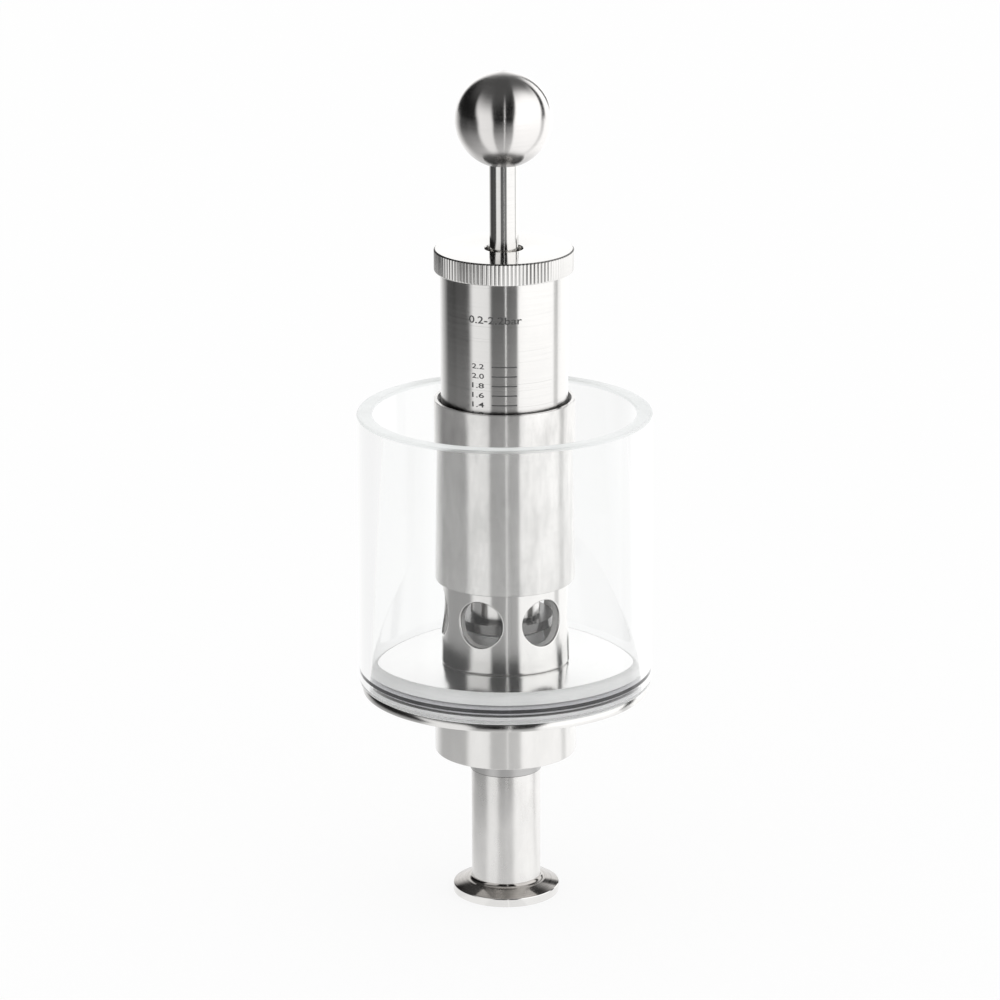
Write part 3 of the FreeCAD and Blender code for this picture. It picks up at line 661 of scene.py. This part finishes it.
def bonnet():
    """Plain cylinder over the cage's spigot, with a bevelled mouth and a groove for the wiper ring."""
    low, high = span_of("bonnet")
    spigot = 18.5 * MM
    shoulder = low + 12.4 * MM
    bore = SLEEVE + 0.15 * MM
    bevel = 0.9 * MM
    groove = radius_of("wiper_ring")
    groove_low, groove_high = span_of("wiper_ring")
    obj = lathe("bonnet_turned", [
        corner(spigot, low, 0.1 * MM), corner(BONNET, low, 0.25 * MM), corner(BONNET, high, 0.2 * MM),
        corner(bore + bevel, high, 0.15 * MM), corner(bore, high - bevel, 0.3 * MM),
        corner(bore, groove_high), corner(groove, groove_high), corner(groove, groove_low),
        corner(bore, groove_low), corner(bore, shoulder), corner(spigot, shoulder),
    ])
    dress(obj, BONNET_STEEL, "valve_body", "brushed_steel", "bonnet")
    mouth_edge = bore + bevel + 0.05 * MM

    def surface(across, up):
        # Painted shade in the bevelled mouth
        return MOUTH_SHADE_STEEL if up > groove_high and across < mouth_edge else None

    dress_faces(obj, (MOUTH_SHADE_STEEL,), surface)


def adjusting_sleeve():
    """Long sleeve with a socket at its top for the cap's spigot."""
    low, high = span_of("adjusting_sleeve")
    bore = 16.6 * MM
    socket_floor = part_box("knurled_cap")[0].z
    obj = lathe("adjusting_sleeve_turned", [
        corner(bore, low, 0.3 * MM), corner(SLEEVE, low, 0.3 * MM), corner(SLEEVE, high, 0.15 * MM),
        corner(CAP_SPIGOT, high), corner(CAP_SPIGOT, socket_floor), corner(bore, socket_floor),
    ])
    dress(obj, BRUSHED, "adjuster", "brushed_steel", "adjusting_sleeve")


RIBS = 108
RIB_POINTS = 10
RIB_GROOVE_DEPTH = 0.26 * MM
# Half the width of a groove, as a share of the ribs' pitch, and the power that rounds its floor
RIB_GROOVE_HALF = 0.32
RIB_GROOVE_POWER = 0.8


def knurled_cap():
    """Grip disc with straight ribs between two broken edges, and the spigot below it."""
    low, high = span_of("knurled_cap")
    grip = radius_of("knurled_cap")
    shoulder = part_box("adjusting_sleeve")[1].z
    hole = 6.0 * MM
    bevel = 0.45 * MM
    smooth_reach = grip - bevel

    def rib(angle, across, up):
        """Narrow grooves between broad ribs, shallower where the edges are broken."""
        if across < smooth_reach or up < shoulder - EDGE_SLACK:
            return 0.0
        phase = (angle * RIBS / (2 * math.pi)) % 1.0
        groove = max(0.0, 1 - abs(phase - 0.5) / RIB_GROOVE_HALF) ** RIB_GROOVE_POWER
        run_out = min(1.0, (across - smooth_reach) / bevel)
        return RIB_GROOVE_DEPTH * groove * run_out

    obj = lathe("knurled_cap_turned", [
        corner(hole, low, 0.3 * MM), corner(CAP_SPIGOT, low, 0.3 * MM), corner(CAP_SPIGOT, shoulder),
        corner(grip, shoulder, 0.6 * MM), corner(grip, high - bevel, 0.06 * MM),
        corner(smooth_reach, high, 0.06 * MM), corner(hole, high, 0.35 * MM),
    ], steps=RIBS * RIB_POINTS, ripple=rib)
    dress(obj, POLISHED, "adjuster", "knurled_steel", "knurled_cap")
    bevel_slack = 0.03 * MM

    def surface(across, up):
        # Painted shade: the broken top edge outside the ribs is near-black
        on_bevel = high - bevel + bevel_slack < up < high - bevel_slack
        return SHADE_LINE_STEEL if on_bevel and across > smooth_reach else None

    dress_faces(obj, (SHADE_LINE_STEEL,), surface)


def lift_rod():
    """Plain rod with its two ends rounded."""
    low, high = span_of("lift_rod")
    obj = lathe("lift_rod_turned", [
        corner(0, low), corner(ROD, low, 0.5 * MM), corner(ROD, high, 0.5 * MM), corner(0, high),
    ], steps=COARSE_STEPS)
    dress(obj, POLISHED, "stem", "brushed_steel", "lift_rod")


def ball_knob():
    """Ball with a flat underneath and the rod's blind hole."""
    low, high = span_of("ball_knob")
    ball = radius_of("ball_knob")
    centre = high - ball
    flat = math.sqrt(ball ** 2 - (centre - low) ** 2)
    hole_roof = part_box("lift_rod")[1].z
    start = math.atan2(low - centre, flat)
    corners = [corner(0, hole_roof), corner(ROD, hole_roof), corner(ROD, low, 0.2 * MM)]
    for step in range(COARSE_STEPS):
        angle = start + (math.pi / 2 - start) * step / COARSE_STEPS
        corners.append(corner(ball * math.cos(angle), centre + ball * math.sin(angle)))
    corners.append(corner(0, high))
    obj = lathe("ball_knob_turned", corners)
    dress(obj, BALL_STEEL, "stem", "ball_steel", "ball_knob")


def sight_glass():
    """Open glass cylinder with a fire-polished rim. Metal doesn't mirror it, but the studio behind it."""
    low, high = span_of("sight_glass")
    inner = GLASS - GLASS_WALL
    rim_start = high - 0.8 * MM
    obj = lathe("sight_glass_polished", [
        corner(inner, low, 0.4 * MM), corner(GLASS, low, 0.4 * MM), corner(GLASS, high, 0.9 * MM),
        corner(inner, high, 0.9 * MM),
    ])
    obj.visible_glossy = False
    dress(obj, CLEAR_GLASS, "glass", "clear_glass", "sight_glass")

    def surface(across, up):
        return RIM_GLASS if up > rim_start else None

    dress_faces(obj, (RIM_GLASS,), surface)


# Spring of round wire, in two halves that meet at the middle

SPRING = 12.5 * MM
WIRE = 1.2 * MM
SPRING_TURNS = 8.6
DEAD_TURNS = 1.0
WIRE_POINTS = 16
TURN_POINTS = 40


def spring_half(name, low, high, turns_from, turns_to, height_at):
    """Part of the coil, from one turn to another, with its ends ground flat at low and high."""
    shape = bmesh.new()
    rings = []
    count = int((turns_to - turns_from) * TURN_POINTS)
    for step in range(count + 1):
        turns = turns_from + (turns_to - turns_from) * step / count
        angle = 2 * math.pi * turns
        ring = []
        for point in range(WIRE_POINTS):
            around = 2 * math.pi * point / WIRE_POINTS
            across = SPRING + WIRE * math.cos(around)
            up = min(high, max(low, height_at(turns) + WIRE * math.sin(around)))
            ring.append(shape.verts.new((across * math.cos(angle), across * math.sin(angle), up)))
        rings.append(ring)
    add_bar(shape, rings)
    bmesh.ops.recalc_face_normals(shape, faces=shape.faces)
    return piece_from(name, shape, sharp_angle=50)


def compression_spring():
    """The coil between the two plates, with closed turns at both ends."""
    plate_flange = 3.0 * MM
    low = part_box("stem_nut")[0].z
    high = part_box("upper_spring_plate")[1].z - plate_flange
    free_turns = SPRING_TURNS - 2 * DEAD_TURNS
    closed_rise = 2 * WIRE * DEAD_TURNS
    free_rise = high - low - WIRE - 2 * closed_rise

    def height_at(turns):
        """Closed turns at both ends, and an even pitch between them."""
        start = low + WIRE / 2
        if turns < DEAD_TURNS:
            return start + 2 * WIRE * turns
        if turns < SPRING_TURNS - DEAD_TURNS:
            return start + closed_rise + free_rise * (turns - DEAD_TURNS) / free_turns
        return start + closed_rise + free_rise + 2 * WIRE * (turns - SPRING_TURNS + DEAD_TURNS)

    halfway = SPRING_TURNS / 2
    lower = spring_half("spring_lower_turns", low, high, 0, halfway, height_at)
    upper = spring_half("spring_upper_turns", low, high, halfway, SPRING_TURNS, height_at)
    for obj in (lower, upper):
        obj.data.materials.append(SPRING_STEEL)
        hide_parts("compression_spring")
    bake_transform(lower)
    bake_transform(upper)


# Scale on the sleeve: lines with a numeral beside each, and the range above them

MARKS = 11
MARK_TOP = 179.65 * MM
MARK_PITCH = 3.07 * MM
MARK_HALF_ANGLE = math.radians(11.4)
MARK_HALF_WIDTH = 0.18 * MM
MARK_STEPS = 18
# Readings in tenths of a bar, from the top line down
TOP_READING = 22
READING_STEP = 2
INK_DEPTH = 0.012 * MM
LETTER_SLICE = 0.3 * MM
LETTER_BOLDNESS = 0.015
LETTER_ARC_STEPS = 4
NUMERAL_FROM = math.radians(-30.1)
NUMERAL_TO = math.radians(-18.4)
NUMERAL_HEIGHT = 1.6 * MM
LEGEND_FROM = math.radians(-32.9)
LEGEND_TO = math.radians(16.0)
LEGEND_HEIGHT = 2.3 * MM
LEGEND_BASE = 193.4 * MM


def add_mark(shape, up):
    """One scale line: a thin curved bar on the sleeve."""
    rings = []
    for step in range(MARK_STEPS + 1):
        angle = MARK_HALF_ANGLE * (2 * step / MARK_STEPS - 1)
        ring = []
        for across, rise in ((-1, -1), (1, -1), (1, 1), (-1, 1)):
            corner_place = place_at(angle, SLEEVE + across * INK_DEPTH, up + rise * MARK_HALF_WIDTH)
            ring.append(shape.verts.new(corner_place))
        rings.append(ring)
    add_bar(shape, rings)


def add_words(shape, words, angle_from, angle_to, base, height):
    """Raised characters bent round the sleeve, between two angles and from a base height up."""
    curve = bpy.data.curves.new("words", "FONT")
    curve.body = words
    curve.extrude = 0.5
    curve.offset = LETTER_BOLDNESS
    curve.resolution_u = LETTER_ARC_STEPS
    holder = bpy.data.objects.new("words", curve)
    flat = bpy.data.meshes.new_from_object(holder)
    low_x = min(vertex.co.x for vertex in flat.vertices)
    high_x = max(vertex.co.x for vertex in flat.vertices)
    high_y = max(vertex.co.y for vertex in flat.vertices)
    cut = bmesh.new()
    cut.from_mesh(flat)
    slices = math.ceil((angle_to - angle_from) * SLEEVE / LETTER_SLICE)
    for index in range(1, slices):
        where = low_x + (high_x - low_x) * index / slices
        bmesh.ops.bisect_plane(cut, geom=cut.verts[:] + cut.edges[:] + cut.faces[:], plane_co=(where, 0, 0),
                               plane_no=(1, 0, 0))
    for vertex in cut.verts:
        share = (vertex.co.x - low_x) / (high_x - low_x)
        angle = angle_from + (angle_to - angle_from) * share
        reach = SLEEVE + INK_DEPTH * vertex.co.z / curve.extrude
        vertex.co = place_at(angle, reach, base + height * vertex.co.y / high_y)
    cut.to_mesh(flat)
    cut.free()
    shape.from_mesh(flat)
    bpy.data.objects.remove(holder)
    bpy.data.curves.remove(curve)
    bpy.data.meshes.remove(flat)


def sleeve_scale():
    """All lines, numerals and the range as one piece that rides with the sleeve."""
    shape = bmesh.new()
    for index in range(MARKS):
        up = MARK_TOP - MARK_PITCH * index
        add_mark(shape, up)
        reading = (TOP_READING - READING_STEP * index) / 10
        add_words(shape, f"{reading:.1f}", NUMERAL_FROM, NUMERAL_TO, up - NUMERAL_HEIGHT / 2, NUMERAL_HEIGHT)
    add_words(shape, "0.2-2.2bar", LEGEND_FROM, LEGEND_TO, LEGEND_BASE, LEGEND_HEIGHT)
    bmesh.ops.recalc_face_normals(shape, faces=shape.faces)
    obj = piece_from("sleeve_scale", shape)
    obj.data.materials.append(LASER_MARK)
    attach(obj, "adjuster")


# Studio

# Brightness that polished metal sees all round, by azimuth in degrees from the viewer's side, positive to
# the right. High up there are dark screens between the soft boxes, and low down the table lightens them.
HIGH_BANDS = [
    (-180, 1.2), (-160, 1.15), (-144, 0.012), (-66, 0.01), (-57, 1.0), (-26, 0.95), (-21, 0.01), (2.0, 0.01),
    (2.4, 1.5), (3.6, 1.5), (4.0, 0.01), (22, 0.01), (25, 1.35), (100, 1.35), (103.5, 0.03), (116.5, 0.03),
    (120, 1.3), (145, 1.3), (148, 0.05), (156, 0.05), (160, 1.2), (180, 1.2),
]
LOW_BANDS = [
    (-180, 1.1), (-152, 0.95), (-138, 0.6), (-120, 0.08), (-98, 0.06), (-92, 0.09), (-66, 0.08), (-57, 0.95),
    (-27, 0.92), (-22, 0.15), (2.0, 0.18), (2.4, 1.4), (3.6, 1.4), (4.0, 0.19), (22, 0.3), (25, 1.2),
    (97, 1.25), (101, 0.7), (109, 0.7), (113, 1.3), (180, 1.2),
]
# A colour ramp holds levels up to 1, so the bands are divided by this on their way through it
LEVEL_SCALE = 1.5
# How far the screens lean towards the front, as a share of their height
LEAN = 0.65
# Between these parts of a direction, the front's edge passes into the back's, and the left's into the right's
FRONT_END = -0.2
BACK_START = 0.5
LEFT_END = -0.2
RIGHT_START = 0.35
# The screens' upper edge, from left to right in front and all along behind, and the height over which they
# fade into the ceiling above it
FRONT_TOP_LEFT = math.radians(14)
FRONT_TOP_RIGHT = math.radians(42)
BACK_TOP = math.radians(21)
FRONT_FADE = math.radians(46)
BACK_FADE = math.radians(26)
CEILING_LEVEL = 0.08

# How much of the low bands the table takes on instead of white, by the distance from the axis in metres
TABLE_SHARES = [(0.0, 0.05), (0.03, 0.12), (0.07, 0.42), (0.2, 0.6), (0.33, 0.72), (0.5, 0.79), (0.67, 0.89),
                (0.95, 1.0)]
TABLE_RADIUS = 6.0
TABLE_DROP = 0.05 * MM
TABLE_TONE = 0.96
# The share of the table's own white that a shadow doesn't darken
TABLE_GLOW = 0.82


def bands(graph, vector, levels, lean=0.0):
    """The level at a vector's azimuth, taken further to the front the higher it points, as screens lean."""
    x, y, z = graph.parts(vector)
    toward = graph.math("SUBTRACT", graph.times(z, lean), y)
    share = graph.mapped(graph.math("ARCTAN2", x, toward), -math.pi, math.pi)
    stops = [((azimuth + 180) / 360, level / LEVEL_SCALE) for azimuth, level in levels]
    return graph.times(graph.ramp(share, stops), LEVEL_SCALE)


def seen_in_metal(graph):
    """1 for a ray that a glossy surface has sent on, and 0 for the camera's own view, through glass too.

    A ray that is reflected inside the glass's wall leaves it with an odd count of passes, and sees white.
    """
    path = graph.node("ShaderNodeLightPath")
    glossy = graph.math("GREATER_THAN", path.outputs["Glossy Depth"], 0.5)
    odd_passes = graph.math("MODULO", path.outputs["Transmission Depth"], 2.0)
    return graph.times(glossy, graph.what_is_left(odd_passes))


def studio_world():
    """Screens, soft boxes and a dark ceiling for the metal, and plain white light for all else."""
    world = bpy.data.worlds.new("studio")
    bpy.context.scene.world = world
    world.use_nodes = True
    world.cycles.sampling_method = "NONE"
    graph = Graph(world.node_tree)
    direction = graph.node("ShaderNodeTexCoord").outputs["Generated"]
    x, y, z = graph.parts(direction)
    rise = graph.math("ARCSINE", z)
    behind = graph.mapped(y, FRONT_END, BACK_START, smooth=True)
    front_top = graph.mapped(x, LEFT_END, RIGHT_START, FRONT_TOP_LEFT, FRONT_TOP_RIGHT)
    top = graph.blended(front_top, BACK_TOP, behind)
    fade = graph.mapped(behind, 0.0, 1.0, FRONT_FADE, BACK_FADE)
    above = graph.math("DIVIDE", graph.math("SUBTRACT", rise, top), fade)
    ceiling = graph.mapped(above, 0.0, 1.0, smooth=True)
    level = graph.blended(bands(graph, direction, HIGH_BANDS, LEAN), CEILING_LEVEL, ceiling)
    background = world.node_tree.nodes["Background"].inputs
    graph.put(background["Color"], (1, 1, 1, 1))
    graph.put(background["Strength"], graph.blended(1.0, level, seen_in_metal(graph)))


def table():
    """Pale table: white to the camera with the object's shadow on it, and the low bands to the metal."""
    bpy.ops.mesh.primitive_circle_add(vertices=COARSE_STEPS, radius=TABLE_RADIUS, fill_type="NGON",
                                      location=(0, 0, -TABLE_DROP))
    obj = bpy.context.object
    obj.name = "table"
    material = bpy.data.materials.new("table")
    material.use_nodes = True
    material.cycles.emission_sampling = "NONE"
    tree = material.node_tree
    tree.nodes.remove(tree.nodes["Principled BSDF"])
    graph = Graph(tree)
    place = graph.node("ShaderNodeNewGeometry").outputs["Position"]
    distance = graph.node("ShaderNodeVectorMath", operation="LENGTH")
    graph.put(distance.inputs[0], place)
    far = graph.ramp(distance.outputs["Value"], TABLE_SHARES)
    reflected = graph.node("ShaderNodeEmission")
    graph.put(reflected.inputs["Strength"], graph.blended(1.0, bands(graph, place, LOW_BANDS), far))
    white = graph.node("ShaderNodeEmission")
    shadowed = graph.node("ShaderNodeBsdfDiffuse")
    graph.put(shadowed.inputs["Color"], (TABLE_TONE, TABLE_TONE, TABLE_TONE, 1))

    def mixed(share, first, second):
        """A mix of two shaders."""
        made = graph.node("ShaderNodeMixShader")
        for socket, value in zip(made.inputs, (share, first.outputs[0], second.outputs[0])):
            graph.put(socket, value)
        return made

    seen = mixed(TABLE_GLOW, shadowed, white)
    chosen = mixed(seen_in_metal(graph), seen, reflected)
    graph.put(tree.nodes["Material Output"].inputs["Surface"], chosen.outputs[0])
    obj.data.materials.append(material)


# Camera at the photograph's viewing angle, fitted to the ellipses of the cap, glass, flange and ferrule
SENSOR_WIDTH = 36.0
CAMERA_LENS = 182.74
CAMERA_PITCH = math.radians(16.569)
CAMERA_YAW = math.radians(-0.0571)
CAMERA_ROLL = math.radians(-0.2371)
CAMERA_PLACE = Vector((0.0, -1.5360, 0.5880))


def camera():
    data = bpy.data.cameras.new("camera")
    data.sensor_width = SENSOR_WIDTH
    data.lens = CAMERA_LENS
    obj = bpy.data.objects.new("camera", data)
    bpy.context.scene.collection.objects.link(obj)
    level = math.cos(CAMERA_PITCH)
    forward = Vector((math.sin(CAMERA_YAW) * level, math.cos(CAMERA_YAW) * level, -math.sin(CAMERA_PITCH)))
    right = forward.cross(Vector((0, 0, 1))).normalized()
    up = right.cross(forward)
    rolled_right = right * math.cos(CAMERA_ROLL) + up * math.sin(CAMERA_ROLL)
    rolled_up = up * math.cos(CAMERA_ROLL) - right * math.sin(CAMERA_ROLL)
    turn = Matrix((rolled_right, rolled_up, -forward)).transposed()
    obj.matrix_world = Matrix.Translation(CAMERA_PLACE) @ turn.to_4x4()
    bpy.context.scene.camera = obj


dress_kept_nodes()
clamp_ferrule()
inlet_tube()
base_body()
glass_o_ring()
bonnet()
adjusting_sleeve()
knurled_cap()
lift_rod()
ball_knob()
sight_glass()
compression_spring()
sleeve_scale()
studio_world()
table()
camera()
bpy.context.scene.view_settings.view_transform = "Standard"
